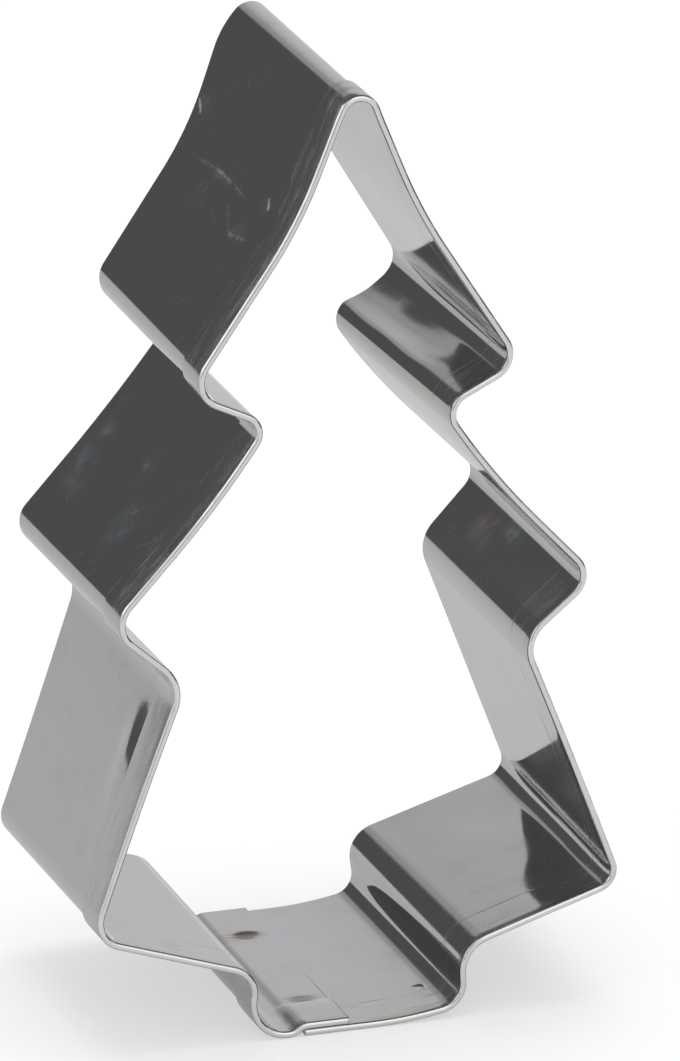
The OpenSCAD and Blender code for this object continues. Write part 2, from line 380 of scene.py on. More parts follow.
# The guides that the strip is swept from


def line_mesh(name, points, closed, numbers, vectors):
    """A line of edges whose points carry the named numbers and vectors."""
    mesh = bpy.data.meshes.new(name)
    count = len(points)
    edges = [(i, i + 1) for i in range(count - 1)] + ([(count - 1, 0)] if closed else [])
    mesh.from_pydata([(p[0], p[1], 0) for p in points], edges, [])
    for key, values in numbers.items():
        mesh.attributes.new(key, "FLOAT", "POINT").data.foreach_set("value", values)
    for key, values in vectors.items():
        flat = [c for v in values for c in v]
        mesh.attributes.new(key, "FLOAT_VECTOR", "POINT").data.foreach_set("vector", flat)
    piece = bpy.data.objects.new(name, mesh)
    bpy.context.scene.collection.objects.link(piece)
    return piece


def height_over_pressed(point):
    """How far a point of the lapped inner end has to be pressed down behind the hem."""
    risen = min(1.0, max(0.0, (point.x - JOGGLE_LOW_X) / (OUTER_END_X - JOGGLE_LOW_X)))
    eased = risen * risen * (3 - 2 * risen)
    return point.y - (FLOOR_Z + PRESSED_RISE * eased)


def strip_guide():
    """The rim's line. Its points carry the way to the cutting edge's line, the way out of the tree, the
    length along the strip from its outer end and to its inner end, and how far the lap is pressed down."""
    pairs = paired_lines()
    front = [a for a, b in pairs]
    along, shift, outward, press = [], [], [], []
    length = 0.0
    for i, (a, b) in enumerate(pairs):
        before, after = front[max(i - 1, 0)], front[min(i + 1, len(front) - 1)]
        way = (after - before).normalized()
        length += (a - before).length
        along.append(length)
        shift.append((b.x - a.x, 0, b.y - a.y))
        outward.append((way.y, 0, -way.x))
        past_left_foot = i > len(pairs) / 2 and a.x > JOGGLE_LOW_X - JOGGLE_RUN and a.y < ROOT_Z / 2
        press.append(height_over_pressed(a) if past_left_foot else 0.0)
    left_over = [length - a for a in along]
    guide = line_mesh("strip_guide", front, False, {"along": along, "press": press, "left_over": left_over},
                      {"rear_shift": shift, "outward": outward})
    return guide, length


class Tree:
    """A short way to write a node tree. What goes into a node may be plain values, nodes or sockets."""

    def __init__(self, tree):
        self.tree = tree

    def add(self, kind, inputs=(), **settings):
        node = self.tree.nodes.new(kind)
        for key, value in settings.items():
            setattr(node, key, value)
        for key, value in dict(inputs).items():
            self.put(node.inputs[key], value)
        return node

    def put(self, socket, value):
        if isinstance(value, bpy.types.Node):
            value = value.outputs[0]
        if isinstance(value, bpy.types.NodeSocket):
            self.tree.links.new(value, socket)
        else:
            socket.default_value = value

    def math(self, operation, a, b):
        return self.add("ShaderNodeMath", {0: a, 1: b}, operation=operation)

    def plus(self, a, b):
        return self.math("ADD", a, b)

    def minus(self, a, b):
        return self.math("SUBTRACT", a, b)

    def times(self, a, b):
        return self.math("MULTIPLY", a, b)

    def larger(self, a, b):
        return self.math("MAXIMUM", a, b)

    def vector(self, operation, a, b=(0, 0, 0)):
        return self.add("ShaderNodeVectorMath", {0: a, 1: b}, operation=operation)

    def scaled(self, vector, scale):
        return self.add("ShaderNodeVectorMath", {0: vector, "Scale": scale}, operation="SCALE")

    def smooth(self, value, low, high):
        """0 where value is low and 1 where it is high, smoothly between."""
        return self.add("ShaderNodeMapRange", {0: value, 1: low, 2: high}, interpolation_type="SMOOTHSTEP")

    def linear(self, value, low, high, to_low=0.0, to_high=1.0):
        """value from low to high, evenly from to_low to to_high."""
        return self.add("ShaderNodeMapRange", {0: value, 1: low, 2: high, 3: to_low, 4: to_high})

    def dome(self, a, b, centre, reach):
        """1 at the centre and smoothly down to 0 at the reach, in the plane of a and b."""
        far_a = self.math("DIVIDE", self.minus(a, centre[0]), reach[0])
        far_b = self.math("DIVIDE", self.minus(b, centre[1]), reach[1])
        far = self.plus(self.times(far_a, far_a), self.times(far_b, far_b))
        near = self.larger(self.minus(1.0, far), 0.0)
        return self.times(near, near)

    def mixed(self, share, under, over):
        """The colour under, covered by the colour over as far as the share says."""
        return self.add("ShaderNodeMix", {0: share, 6: under, 7: over}, data_type="RGBA").outputs[2]

    def ramp(self, value, stops):
        """Colours between stops of (place, colour)."""
        node = self.add("ShaderNodeValToRGB", {0: value})
        elements = node.color_ramp.elements
        while len(elements) < len(stops):
            elements.new(0.5)
        for element, (place, colour) in zip(elements, stops):
            element.position = place
            element.color = colour
        return node

    def number(self, name):
        """A number that the points carry, in geometry nodes."""
        return self.add("GeometryNodeInputNamedAttribute", {"Name": name}, data_type="FLOAT")

    def way(self, name):
        """A vector that the points carry, in geometry nodes."""
        return self.add("GeometryNodeInputNamedAttribute", {"Name": name}, data_type="FLOAT_VECTOR")


# Colours of the steel
STEEL = (0.58, 0.578, 0.58, 1)
STEEL_BLUE = (0.56, 0.573, 0.6, 1)
STEEL_BROWN = (0.6, 0.575, 0.555, 1)
STEEL_SMUDGE = (0.53, 0.52, 0.52, 1)
STEEL_WARM = (0.6, 0.588, 0.562, 1)
# Painted shadow: the grey that darkens the lapped inner end's last tenths of a millimetre, where it steps
# over the outer lap
STEEL_STEP_SHADE = (0.2, 0.19, 0.19, 1)
HEAT_BROWN = (0.42, 0.3, 0.2, 1)
STAIN_BLUE = (0.57, 0.635, 0.69, 1)
STAIN_RED = (0.65, 0.56, 0.565, 1)
STAIN_BROWN = (0.63, 0.6, 0.585, 1)
CLOUD_STOPS = ((0.3, STEEL_BLUE), (0.45, STEEL), (0.58, STEEL), (0.72, STEEL_BROWN))
SMUDGE_SHARE = 0.35
WARM_SHARE = 0.35
# How dark the painted shadow at the inner end's step is
STEP_SHADE_SHARE = 0.6


class Noise(NamedTuple):
    """Noise on the flat strip: the size of its features along and across in millimetres, its detail and its
    seed, and the values at which it starts to show and at which it shows in full."""
    along: float
    across: float
    detail: float
    seed: float
    low: float = 0.0
    high: float = 1.0


CLOUDS = Noise(9, 7, 3, 3.7)
SMUDGES = Noise(3.2, 4.5, 4, 8.4, 0.52, 0.7)
SPECKS = Noise(0.16, 0.16, 1, 2.2, 0.7, 0.78)
ROLLING_GRAIN = Noise(12, 0.09, 2, 0.5, 0.2, 0.8)
WAVES = Noise(2.5, 2, 1, 9.1)
HEAT_STREAKS = Noise(1.6, 0.25, 2, 6, 0.35, 0.65)
RAGGED = Noise(1.6, 1.6, 3, 5.2, 0.3, 0.6)
WARM_STREAKS = Noise(5, 0.4, 3, 3.1, 0.35, 0.65)
BRUSH_STREAKS = Noise(7, 0.07, 2, 1.9, 0.5, 0.72)
BRUSHED_PLACES = Noise(4, 1.2, 2, 6.6, 0.42, 0.62)
HANDLED_PLACES = Noise(3, 0.8, 3, 4.7, 0.35, 0.65)
HEM_LINE_BREAKS = Noise(3, 3, 2, 7.7, 0.4, 0.65)
NOSE_RUBS = Noise(0.8, 0.25, 3, 2.9, 0.45, 0.7)

# Scratches: their angle to the strip in degrees, their length and width in millimetres, their seed, and the
# share of the sheet that has them
SCRATCHES = (
    (12, 5, 0.05, 1.3, 0.42),
    (64, 4, 0.05, 7.1, 0.4),
    (-38, 7, 0.06, 4.2, 0.38),
)
# The noise at which a scratch starts to show and shows in full. Then the scratched patches: their size in
# millimetres, how softly they end, and how far their seed lies from that of their scratches
SCRATCH_THIN = (0.68, 0.76)
SCRATCHED_PATCH = 6
SCRATCHED_FADE = 0.08
SCRATCHED_SEED_STEP = 5

# The welds' heat tint: how far it lies from the dimple, how far it reaches, and how far the clear middle
# does, in X and in depth
HEAT_SHIFT = (-0.3 * MM, -0.1 * MM)
HEAT_REACH = (2.6 * MM, 1.4 * MM)
HEAT_CLEAR = (0.9 * MM, 0.5 * MM)
# The height above which nothing belongs to the trunk's floor, and that below which all does
FLOOR_FADE = (2 * MM, 1.2 * MM)

# Depths between which the marks of the hem and of the nose fade in, and where the painted shadow at the
# lapped inner end's step does, in depth and before the strip's end
HEM_FADE = (HEM_Y + 1.2 * MM, HEM_Y - 1.2 * MM)
BRUSHED_FADE = (HEM_Y + 1.5 * MM, HEM_Y - 0.5 * MM)
HANDLED_FADE = (HEM_Y + 0.5 * MM, NOSE_Y)
NOSE_FADE = (NOSE_Y + 0.1 * MM, NOSE_Y - 0.1 * MM)
STEP_SHADE_FADE = (-1 * MM, -5 * MM)
STEP_SHADE_END = (0.16 * MM, 0.06 * MM)
# Steel faces out of the tree where its normal's X times its place's X is above 0, in full from here on
OUTER_FADE = (0.0, 1 * MM)
# How much of the handling is left on the hem's outer side where it is cleanest
HANDLED_LEAST = 0.35
# The worn line where the hem's end shows through the wall: its length and width in millimetres, how faint
# and how strong it is, and how far its low ridge reaches in depth
HEM_LINE_LENGTH = 190
HEM_LINE_WIDTH = 0.13
HEM_LINE_STRENGTH = (0.05, 0.7)
HEM_SHOWS = 0.18 * MM
# How much of a rubbed line is left where the sheet is least ragged
RUB_LEAST = 0.5

# Faint stains of the sheet: the place along the strip and its depth in the cutter, the reach along and in
# depth, in millimetres, and the colour
STAINS = (
    (141.5, 9.5, 2.4, 4.2, STAIN_BLUE),
    (143.4, 8.0, 1.6, 4.2, STAIN_BROWN),
    (138.9, 9.6, 1.8, 3.4, STAIN_BROWN),
    (142.8, -2.5, 3.2, 3.0, STAIN_BLUE),
    (138.6, 0.4, 2.6, 2.2, STAIN_RED),
    (51.8, 5.0, 2.6, 3.4, STAIN_RED),
    (53.0, 1.0, 1.6, 3.0, STAIN_BLUE),
    (108.6, 10.8, 1.6, 2.4, STAIN_RED),
    (111.4, -6.4, 1.4, 1.8, STAIN_RED),
    (111.9, 3.0, 0.9, 6.0, STAIN_RED),
    (114.6, -4.4, 1.8, 2.4, STAIN_RED),
)
# Rubbed lines from handling: both ends as (along the strip, depth), the width in millimetres, the strength
RUBS = (
    ((112.2, 9.4), (111.7, 3.5), 0.24, 0.3),
    ((111.7, 3.5), (112.0, -2.3), 0.24, 0.4),
    ((108.4, 11.9), (109.1, 11.0), 0.3, 0.8),
    ((110.9, -6.3), (111.5, -6.9), 0.25, 0.9),
    ((113.2, -0.2), (114.9, -3.2), 0.3, 0.35),
    ((114.9, -3.2), (114.4, -6.2), 0.3, 0.35),
    ((139.2, -5.6), (141.8, -2.4), 0.2, 0.3),
    ((143.3, -6.7), (141.9, -8.6), 0.2, 0.4),
    ((24.6, -9.3), (30.8, -9.9), 0.3, 0.4),
)

# Roughness of the plain polish, from its smoothest grain to its dullest, and what each mark adds to it
POLISH = (0.07, 0.1)
ROUGHENS = {
    "smudges": 0.03,
    "scratches": 0.25,
    "specks": 0.05,
    "heat": 0.12,
    "handled": 0.18,
    "stained": 0.18,
    "dimples": 0.36,
    "brushed": 0.42,
    "worn": 0.45,
    "nose_rubs": 0.16,
}
# The height of the finest relief, and how far each mark stands out as a share of it
RELIEF = 0.0012 * MM
STANDS_OUT = {"grain": 0.06, "scratches": -0.8, "specks": -0.12, "hem_end": 2.5, "waves": 4.0}


class FlatStrip:
    """The strip laid flat, where the steel's marks are drawn along its length and across its depth."""

    def __init__(self, nodes):
        self.nodes = nodes
        self.along = nodes.add("ShaderNodeAttribute", attribute_name="along").outputs["Fac"]
        self.left_over = nodes.add("ShaderNodeAttribute", attribute_name="left_over").outputs["Fac"]
        spot = nodes.add("ShaderNodeTexCoord")
        place = nodes.add("ShaderNodeSeparateXYZ", {0: spot.outputs["Object"]})
        facing = nodes.add("ShaderNodeSeparateXYZ", {0: spot.outputs["Normal"]})
        self.x, self.y, self.z = place.outputs["X"], place.outputs["Y"], place.outputs["Z"]
        self.facing_x = facing.outputs["X"]
        self.flat = nodes.add("ShaderNodeCombineXYZ", {"X": self.along, "Y": self.y})

    def noise(self, kind, where=None):
        """Noise of a kind, on the flat strip or where it says."""
        where = self.flat if where is None else where
        stretched = self.nodes.vector("MULTIPLY", where, (1 / (kind.along * MM), 1 / (kind.across * MM), 1))
        moved = self.nodes.vector("ADD", stretched, (kind.seed, 2 * kind.seed, 0))
        return self.nodes.add("ShaderNodeTexNoise", {"Vector": moved, "Scale": 1.0, "Detail": kind.detail})

    def patches(self, kind, where=None):
        """Noise of a kind, smoothly from 0 where it doesn't show to 1 where it shows in full."""
        return self.nodes.smooth(self.noise(kind, where), kind.low, kind.high)

    def mottling(self, kind, least=0.0, most=1.0):
        """Noise of a kind, evenly from the least to the most."""
        return self.nodes.linear(self.noise(kind), kind.low, kind.high, least, most)

    def scratches(self, angle, length, width, seed, share):
        """Thin lines at an angle, here and there."""
        turned = self.nodes.add("ShaderNodeVectorRotate", {"Vector": self.flat, "Angle": math.radians(angle)},
                                rotation_type="Z_AXIS")
        lines = self.patches(Noise(length, width, 1, seed, *SCRATCH_THIN), turned)
        here = self.patches(Noise(SCRATCHED_PATCH, SCRATCHED_PATCH, 1, seed + SCRATCHED_SEED_STEP,
                                  1 - share - SCRATCHED_FADE, 1 - share + SCRATCHED_FADE))
        return self.nodes.times(lines, here)

    def rub(self, start, stop, width):
        """1 on the line from start to stop and 0 at its width, both in millimetres on the flat strip."""
        nodes = self.nodes
        leg = Vector((stop[0] - start[0], stop[1] - start[1], 0)) * MM
        away = nodes.vector("SUBTRACT", self.flat, Vector((start[0], start[1], 0)) * MM)
        ahead = nodes.vector("DOT_PRODUCT", away, leg).outputs["Value"]
        done = nodes.math("DIVIDE", ahead, leg.length_squared)
        done = nodes.math("MINIMUM", nodes.larger(done, 0.0), 1.0)
        near = nodes.vector("SUBTRACT", away, nodes.scaled(leg, done))
        return nodes.smooth(nodes.vector("LENGTH", near).outputs["Value"], width * MM, 0.0)


def weld_marks(strip):
    """The streaky heat tint round the spot welds, and their dimples."""
    nodes = strip.nodes
    heat, dimples = 0.0, 0.0
    for x, y in WELD_PLACES:
        tinted = nodes.dome(strip.x, strip.y, (x + HEAT_SHIFT[0], y + HEAT_SHIFT[1]), HEAT_REACH)
        clear = nodes.dome(strip.x, strip.y, (x, y), HEAT_CLEAR)
        heat = nodes.larger(heat, nodes.minus(tinted, clear))
        dimples = nodes.larger(dimples, nodes.dome(strip.x, strip.y, (x, y), WELD_REACH))
    on_floor = nodes.smooth(strip.z, *FLOOR_FADE)
    place = nodes.add("ShaderNodeCombineXYZ", {"X": strip.x, "Y": strip.y})
    streaky = nodes.times(nodes.times(heat, on_floor), strip.patches(HEAT_STREAKS, place))
    return streaky, nodes.times(dimples, on_floor)


def worn_lines(strip, ragged):
    """The line where the hem's end shows through the wall, and rubbed lines that fade where ragged is low."""
    nodes = strip.nodes
    hem_mm = HEM_Y / MM
    worn = nodes.times(strip.rub((0, hem_mm), (HEM_LINE_LENGTH, hem_mm), HEM_LINE_WIDTH),
                       strip.mottling(HEM_LINE_BREAKS, *HEM_LINE_STRENGTH))
    thinned = nodes.linear(ragged, 0.0, 1.0, RUB_LEAST, 1.0)
    for start, stop, width, strength in RUBS:
        line = nodes.times(strip.rub(start, stop, width), strength)
        worn = nodes.larger(worn, nodes.times(line, thinned))
    return worn


def hem_marks(strip):
    """Brush streaks on both sides of the hem, and the duller, handled steel on its outer side."""
    nodes = strip.nodes
    brushed = nodes.times(strip.patches(BRUSH_STREAKS), strip.patches(BRUSHED_PLACES))
    brushed = nodes.times(brushed, nodes.smooth(strip.y, *BRUSHED_FADE))
    outer = nodes.smooth(nodes.times(strip.facing_x, strip.x), *OUTER_FADE)
    handled = nodes.times(nodes.smooth(strip.y, *HANDLED_FADE), outer)
    return brushed, nodes.times(handled, strip.mottling(HANDLED_PLACES, HANDLED_LEAST))


def steel_marks(strip):
    """The steel's marks by name. Grain and waves are plain noise, stains are pairs of a share and a colour,
    and the others are numbers that are 0 where the mark is absent."""
    nodes = strip.nodes
    scratches = 0.0
    for kind in SCRATCHES:
        scratches = nodes.larger(scratches, strip.scratches(*kind))
    ragged = strip.mottling(RAGGED)
    stains = []
    stained = 0.0
    for place, depth, reach, depth_reach, colour in STAINS:
        here = nodes.dome(strip.along, strip.y, (place * MM, depth * MM), (reach * MM, depth_reach * MM))
        share = nodes.times(here, ragged)
        stains.append((share, colour))
        stained = nodes.larger(stained, share)
    heat, dimples = weld_marks(strip)
    brushed, handled = hem_marks(strip)
    nose = nodes.smooth(strip.y, *NOSE_FADE)
    return {
        "grain": strip.noise(ROLLING_GRAIN),
        "waves": strip.noise(WAVES),
        "smudges": strip.patches(SMUDGES),
        "specks": strip.patches(SPECKS),
        "scratches": scratches,
        "stains": stains,
        "stained": stained,
        "heat": heat,
        "dimples": dimples,
        "brushed": brushed,
        "handled": handled,
        "worn": worn_lines(strip, ragged),
        "nose": nose,
        "nose_rubs": nodes.times(nose, strip.patches(NOSE_RUBS)),
        "hem_end": nodes.dome(strip.y, 0.0, (HEM_Y, 0.0), (HEM_SHOWS, 1.0)),
    }


def steel_colour(strip, marks):
    """Steel with faint clouds, smudges, heat tint and stains, a warmer rim, and a painted shadow on the
    lapped inner end where it steps over the outer lap.
    """
    nodes = strip.nodes
    colour = nodes.ramp(strip.noise(CLOUDS), CLOUD_STOPS)
    colour = nodes.mixed(nodes.times(marks["smudges"], SMUDGE_SHARE), colour, STEEL_SMUDGE)
    colour = nodes.mixed(marks["heat"], colour, HEAT_BROWN)
    for share, stain in marks["stains"]:
        colour = nodes.mixed(share, colour, stain)
    hem = nodes.smooth(strip.y, *HEM_FADE)
    rim = nodes.plus(nodes.times(hem, WARM_SHARE), nodes.times(marks["nose"], WARM_SHARE))
    colour = nodes.mixed(nodes.times(rim, strip.mottling(WARM_STREAKS)), colour, STEEL_WARM)
    # Painted shadow: the inner end's last tenths of a millimetre, towards the rim, are darkened where the
    # sheet steps over the outer lap
    step_shade = nodes.times(nodes.smooth(strip.left_over, *STEP_SHADE_END), nodes.smooth(strip.y, *STEP_SHADE_FADE))
    return nodes.mixed(nodes.times(step_shade, STEP_SHADE_SHARE), colour, STEEL_STEP_SHADE)


def steel_roughness(strip, marks):
    """The polish, made duller by the marks."""
    nodes = strip.nodes
    rough = nodes.linear(marks["grain"], ROLLING_GRAIN.low, ROLLING_GRAIN.high, *POLISH)
    for name, more in ROUGHENS.items():
        rough = nodes.plus(rough, nodes.times(marks[name], more))
    return rough


def steel_relief(strip, marks):
    """The finest relief, too low for the mesh."""
    nodes = strip.nodes
    height = 0.0
    for name, share in STANDS_OUT.items():
        height = nodes.plus(height, nodes.times(marks[name], share))
    return nodes.add("ShaderNodeBump", {"Height": height, "Strength": 1.0, "Distance": RELIEF})


def metal_material(name):
    """A metal: the material, its nodes and its shader."""
    material = bpy.data.materials.new(name)
    material.use_nodes = True
    shader = material.node_tree.nodes["Principled BSDF"]
    shader.inputs["Metallic"].default_value = 1
    return material, Tree(material.node_tree), shader


def steel_material(name):
    """Polished sheet steel with its rolling grain and the marks of bending, welding and handling."""
    material, nodes, shader = metal_material(name)
    strip = FlatStrip(nodes)
    marks = steel_marks(strip)
    nodes.put(shader.inputs["Base Color"], steel_colour(strip, marks))
    nodes.put(shader.inputs["Roughness"], steel_roughness(strip, marks))
    nodes.put(shader.inputs["Normal"], steel_relief(strip, marks))
    return material


# The welds' craters: their size and depth, the noise between which brown gives way to grey, and the noise
# and the roughness of the smoothest and the dullest places
CRATER_SIZE = 0.2 * MM
CRATER_DEPTH = 0.02 * MM
CRATER_DETAIL = 3.0
CRATER_TINT = (0.35, 0.65)
CRATER_RANGE = (0.2, 0.8)
WELD_ROUGHNESS = (0.3, 0.5)


def weld_material(name):
    """The welds' fused metal: duller than the sheet, with fine craters and brown heat tint."""
    material, nodes, shader = metal_material(name)
    where = nodes.add("ShaderNodeTexCoord").outputs["Object"]
    craters = nodes.add("ShaderNodeTexNoise", {
        "Vector": where, "Scale": 1 / CRATER_SIZE, "Detail": CRATER_DETAIL})
    tint = nodes.mixed(nodes.smooth(craters, *CRATER_TINT), HEAT_BROWN, STEEL_SMUDGE)
    nodes.put(shader.inputs["Base Color"], tint)
    nodes.put(shader.inputs["Roughness"], nodes.linear(craters, *CRATER_RANGE, *WELD_ROUGHNESS))
    relief = nodes.add("ShaderNodeBump", {"Height": craters, "Strength": 1.0, "Distance": CRATER_DEPTH})
    nodes.put(shader.inputs["Normal"], relief)
    return material


def new_group(name, sockets):
    """A geometry node group with the named inputs and one mesh out."""
    group = bpy.data.node_groups.new(name, "GeometryNodeTree")
    for label, kind in sockets.items():
        group.interface.new_socket(label, in_out="INPUT", socket_type=kind)
    group.interface.new_socket("Geometry", in_out="OUTPUT", socket_type="NodeSocketGeometry")
    return group, Tree(group)


def lift_of_dents(nodes, along, depth):
    """How far the dents move the sheet out of the tree."""
    lift = 0.0
    for place, dent_depth, reach, depth_reach, height in DENTS:
        shape = nodes.dome(along, depth, (place * MM, dent_depth * MM), (reach * MM, depth_reach * MM))
        lift = nodes.plus(lift, nodes.times(shape, height * MM))
    return lift


def strip_sweep_tree(material):
    """Sweeps the section along the strip's line, bends it from the rim's line to the cutting edge's, and
    presses the lapped end down behind the hem."""
    group, nodes = new_group("strip_sweep", {
        "Line": "NodeSocketGeometry", "Section": "NodeSocketObject", "Front": "NodeSocketFloat",
        "Depth": "NodeSocketFloat", "Hem End": "NodeSocketFloat", "Press Run": "NodeSocketFloat",
        "Lap Start": "NodeSocketFloat"})
    given = nodes.add("NodeGroupInput").outputs
    line = nodes.add("GeometryNodeMeshToCurve", {"Mesh": given["Line"]})
    level = nodes.add("GeometryNodeSetCurveNormal", {"Curve": line}, mode="Z_UP")
    profile = nodes.add("GeometryNodeObjectInfo", {"Object": given["Section"]})
    profile_line = nodes.add("GeometryNodeMeshToCurve", {"Mesh": profile.outputs["Geometry"]})
    sweep = nodes.add("GeometryNodeCurveToMesh", {
        "Curve": level, "Profile Curve": profile_line, "Fill Caps": True})
    upright = nodes.add("GeometryNodeTransform", {
        "Geometry": sweep, "Rotation": (math.radians(90), 0, 0)})
    place = nodes.add("ShaderNodeSeparateXYZ", {0: nodes.add("GeometryNodeInputPosition")})
    across, depth = place.outputs["X"], place.outputs["Y"]
    along = nodes.number("along")
    back = nodes.math("DIVIDE", nodes.minus(depth, given["Front"]), given["Depth"])
    stray = nodes.scaled(nodes.way("rear_shift"), back)
    behind = nodes.smooth(depth, given["Hem End"], nodes.plus(given["Hem End"], given["Press Run"]))
    pressed = nodes.times(nodes.times(nodes.number("press"), behind), -1.0)
    on_lap = nodes.math("GREATER_THAN", along, given["Lap Start"])
    for weld, deep in zip(WELD_PLACES, WELD_DIPS):
        dip = nodes.times(nodes.dome(across, depth, weld, WELD_REACH), deep)
        pressed = nodes.minus(pressed, nodes.times(dip, on_lap))
    down = nodes.add("ShaderNodeCombineXYZ", {"Z": pressed})
    dented = nodes.scaled(nodes.way("outward"), lift_of_dents(nodes, along, depth))
    bent = nodes.add("GeometryNodeSetPosition", {
        "Geometry": upright, "Offset": nodes.vector("ADD", nodes.vector("ADD", stray, down), dented)})
    smooth = nodes.add("GeometryNodeSetShadeSmooth", {"Geometry": bent})
    angle = nodes.add("GeometryNodeInputMeshEdgeAngle")
    sharp = nodes.add("FunctionNodeCompare", {"A": angle, "B": SHARP_EDGE}, operation="GREATER_THAN")
    edges = nodes.add("GeometryNodeStoreNamedAttribute", {
        "Geometry": smooth, "Name": "sharp_edge", "Value": sharp}, data_type="BOOLEAN", domain="EDGE")
    real = nodes.add("GeometryNodeRealizeInstances", {"Geometry": edges})
    finish = nodes.add("GeometryNodeSetMaterial", {"Geometry": real, "Material": material})
    nodes.add("NodeGroupOutput", {"Geometry": finish})
    return group


def input_of(group, name):
    """The identifier of a group's named input."""
    return next(item.identifier for item in group.interface.items_tree
                if item.name == name and item.in_out == "INPUT")


def made_by(group, guide, inputs):
    """The plain mesh that a tree makes from a guide."""
    modifier = guide.modifiers.new("maker", "NODES")
    modifier.node_group = group
    for name, value in inputs.items():
        modifier[input_of(group, name)] = value
    evaluated = guide.evaluated_get(bpy.context.evaluated_depsgraph_get())
    return bpy.data.meshes.new_from_object(evaluated)


def cutter_strip(material):
    """The whole strip: wall, rolled rim and both lapped ends, as one closed sheet."""
    guide, length = strip_guide()
    section = line_mesh("section_guide", strip_section(), True, {}, {})
    mesh = made_by(strip_sweep_tree(material), guide, {
        "Section": section, "Front": FRONT_Y, "Depth": STRIP_DEPTH, "Hem End": HEM_Y,
        "Press Run": PRESS_RUN, "Lap Start": length - LAP_LENGTH - JOGGLE_RUN})
    piece = bpy.data.objects.new("cutter_strip", mesh)
    bpy.context.scene.collection.objects.link(piece)
    for helper in (guide, section):
        bpy.data.objects.remove(helper)
    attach(piece, "root")
    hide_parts("blade_wall", "rolled_rim")


def spot_welds(material):
    """The two nuggets keep their CAD meshes."""
    for name in ("spot_weld_front", "spot_weld_rear"):
        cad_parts[name].data.materials.clear()
        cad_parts[name].data.materials.append(material)


# The studio's light, and the table: its half width, how white it is, and how far it is shown as plain white
AMBIENT = 0.8
TABLE_HALF = 2.0
TABLE_WHITE = 0.95
TABLE_LIFT = 0.5

# The lamp above, and the place that it aims at
KEY_PLACE = (0.1, 0.14, 1.0)
KEY_SIZE = 0.8
KEY_WATTS = 4.2
LAMP_AIM = Vector((0, 0, 30 * MM))

# The boards' places, in millimetres: the outer ends of those behind the cutter, where the dark one meets
# the grey one, how far behind they stand, their lower and upper edges, and the height of the panel above
LEFT_END, RIGHT_END = -900, 900
SPLIT_X = -150
BACK_Y = 600
BOARD_LOW, BOARD_TOP = -2, 390
PANEL_Z = 620
# Greys of the dark board and of the grey one, from left to right, each after its place in millimetres
DARK_STOPS = ((LEFT_END, 0.108), (-170, 0.108), (SPLIT_X, 0.15))
GREY_STOPS = ((SPLIT_X, 0.15), (-120, 0.36), (-80, 0.43), (-40, 0.42), (25, 0.54), (110, 0.64), (170, 0.67),
              (330, 0.7), (380, 0.2))
# The sheet over the table, in millimetres: how much light it lets through from left to right, each share
# after its place, then its half width and its height
FALL_OFF_STOPS = ((-150, 0.56), (-60, 0.58), (-20, 0.62), (25, 0.61), (40, 0.64), (50, 0.74), (60, 0.92),
                  (80, 1.0))
FALL_OFF_HALF = 590
FALL_OFF_Z = 0.03


def plain(grey):
    """One grey from end to end."""
    return (LEFT_END, grey), (RIGHT_END, grey)


# Each board's four corners and its greys along X, with every place in millimetres. A grey above 1 glows
BOARDS = {
    "left_board": (((LEFT_END, BACK_Y, BOARD_LOW), (SPLIT_X, BACK_Y, BOARD_LOW),
                    (SPLIT_X, BACK_Y, BOARD_TOP), (LEFT_END, BACK_Y, BOARD_TOP)), DARK_STOPS),
    "back_board": (((SPLIT_X, BACK_Y, BOARD_LOW), (RIGHT_END, BACK_Y, BOARD_LOW),
                    (RIGHT_END, BACK_Y, BOARD_TOP), (SPLIT_X, BACK_Y, BOARD_TOP)), GREY_STOPS),
    "ceiling": (((-500, BACK_Y, BOARD_TOP), (RIGHT_END, BACK_Y, BOARD_TOP),
                 (RIGHT_END, -130, PANEL_Z), (-500, -130, PANEL_Z)), plain(0.13)),
    "right_board": (((420, 320, BOARD_LOW), (420, -240, BOARD_LOW),
                     (420, -240, 150), (420, 320, 150)), plain(0.1)),
    "top_panel": (((-100, -130, PANEL_Z), (RIGHT_END, -130, PANEL_Z),
                   (RIGHT_END, -330, PANEL_Z), (-100, -330, PANEL_Z)), plain(1.6)),
    "front_panel": (((-100, -330, PANEL_Z), (500, -330, PANEL_Z),
                     (500, -560, 180), (-100, -560, 180)), plain(1.5)),
    "left_panel": (((-600, 500, 190), (-600, -300, 190),
                    (-600, -300, 540), (-600, 500, 540)), plain(1.7)),
    "front_board": (((-600, -420, BOARD_LOW), (-300, -600, BOARD_LOW),
                     (-300, -600, 540), (-600, -420, 540)), plain(0.45)),
}


def plane(name, corners, material):
    """A flat piece of the studio."""
    mesh = bpy.data.meshes.new(name)
    mesh.from_pydata(corners, [], [tuple(range(len(corners)))])
    mesh.materials.append(material)
    piece = bpy.data.objects.new(name, mesh)
    bpy.context.scene.collection.objects.link(piece)
    return piece


def only_in_reflections(piece):
    """Only mirrors see the piece, and it casts no shadow."""
    piece.visible_camera = False
    piece.visible_diffuse = False
    piece.visible_transmission = False
    piece.visible_volume_scatter = False
    piece.visible_shadow = False


def shown(nodes):
    """1 for the rays that show a surface, by camera, mirror or glass, and 0 for those that only light it."""
    path = nodes.add("ShaderNodeLightPath")
    seen = nodes.larger(path.outputs["Is Camera Ray"], path.outputs["Is Glossy Ray"])
    return nodes.larger(seen, path.outputs["Is Transmission Ray"])


def studio_world():
    """A white room, shown as plain white and a little dimmer as a light."""
    world = bpy.data.worlds.new("studio")
    bpy.context.scene.world = world
    world.use_nodes = True
    nodes = Tree(world.node_tree)
    sky = world.node_tree.nodes["Background"]
    nodes.put(sky.inputs["Color"], (1, 1, 1, 1))
    nodes.put(sky.inputs["Strength"], nodes.linear(shown(nodes), 0.0, 1.0, AMBIENT, 1.0))


